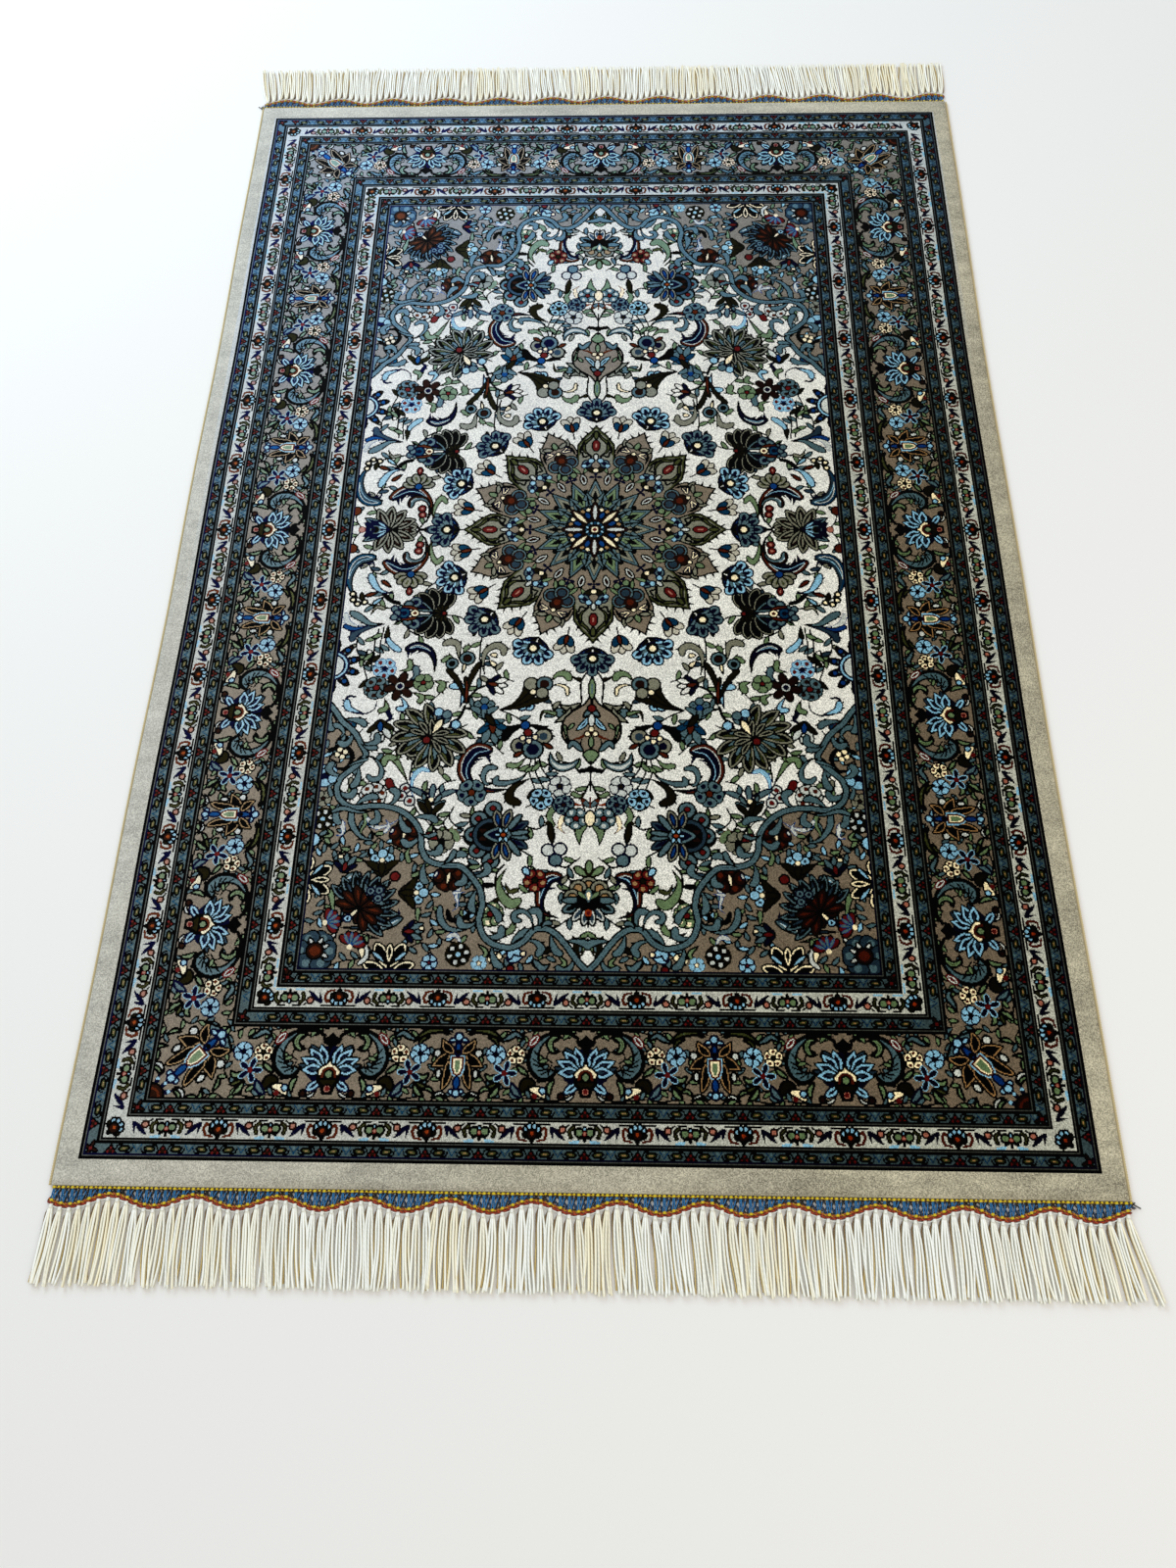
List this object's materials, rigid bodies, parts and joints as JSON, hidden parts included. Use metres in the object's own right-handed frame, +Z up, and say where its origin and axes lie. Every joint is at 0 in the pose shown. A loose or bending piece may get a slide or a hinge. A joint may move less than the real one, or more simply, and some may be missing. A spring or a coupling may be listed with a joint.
{
  "type": "hand-knotted persian silk rug",
  "caption": "Flat rectangular hand-knotted silk rug with bound sides, a scalloped lace trim with edging cords and a tasselled fringe at each end.",
  "frame": {"origin": "middle of the rug, on the floor that it lies on", "axes": "+Z up out of the pile, +Y along the rug's length to its far end, +X across it to the right"},
  "size_m": [1.0278, 1.6742, 0.0045],
  "materials": {
    "silk_pile": "clipped silk pile, patterned in ivory, taupe, slate blue, navy and near-black",
    "binding_silk": "overcast silk in gold and ivory",
    "blue_lace": "needle lace in blue thread with yellow and black stitches",
    "gold_cord": "twisted gold silk",
    "maroon_cord": "twisted maroon silk",
    "white_silk": "twisted white and cream silk cords"
  },
  "bodies": {
    "root": {"carpet": "silk_pile", "binding_left": "binding_silk", "binding_right": "binding_silk", "trim_near": "blue_lace", "trim_far": "blue_lace", "gold_cord_near": "gold_cord", "gold_cord_far": "gold_cord", "maroon_cord_near": "maroon_cord", "maroon_cord_far": "maroon_cord", "fringe_near": "white_silk", "fringe_far": "white_silk"}
  },
  "joints": []
}
